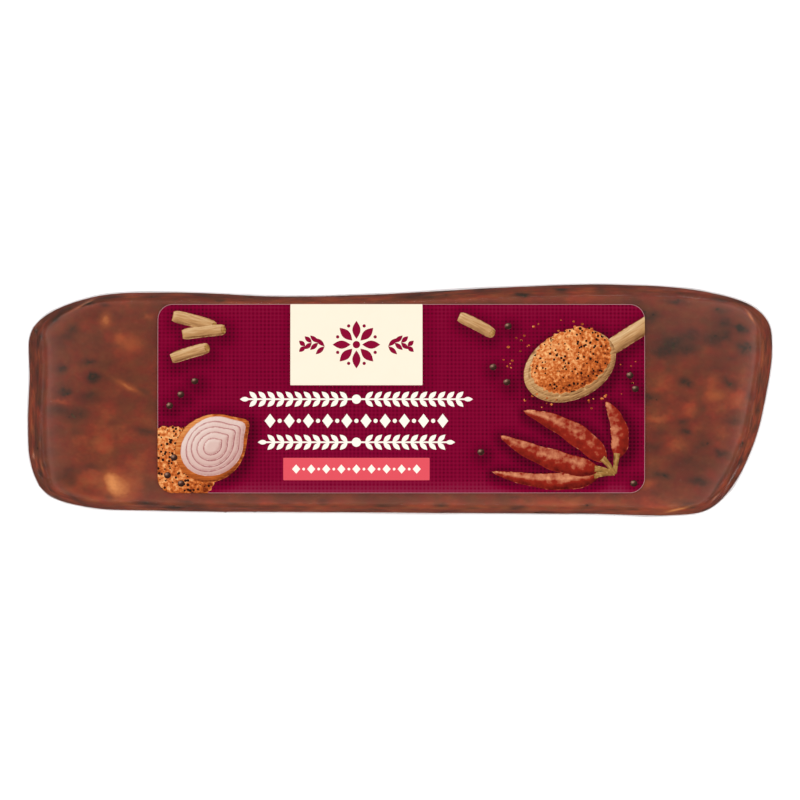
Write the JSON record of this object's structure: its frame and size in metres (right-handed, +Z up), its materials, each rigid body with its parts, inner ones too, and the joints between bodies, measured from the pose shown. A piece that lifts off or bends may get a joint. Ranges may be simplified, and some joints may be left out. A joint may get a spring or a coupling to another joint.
{
  "type": "vacuum-packed pork loin filet",
  "caption": "Dry-rubbed pork loin filet, long and slightly slanted at one end, sealed tight in clear film with a rounded rectangular paper label on its upper face.",
  "frame": {"origin": "on the surface that the pack lies on, under the middle of its footprint", "axes": "+X along the loin towards its slanted end, +Y across it towards the side that dips in, +Z up through the labelled face"},
  "size_m": [0.276, 0.0864, 0.0375],
  "materials": {
    "film": "clear heat-shrunk packing film, tight and glossy, with a faint haze",
    "pork": "moist raw pork under a red-brown dry rub, with soft dark spots and a few pale fat patches",
    "rub": "coarse black pepper and dark herb flakes pressed under the film",
    "label": "satin printed paper, burgundy with a fine linen pattern, a cream panel and spice motifs"
  },
  "bodies": {
    "root": {"sealed_pork_loin": "film", "label": "label"}
  },
  "joints": []
}
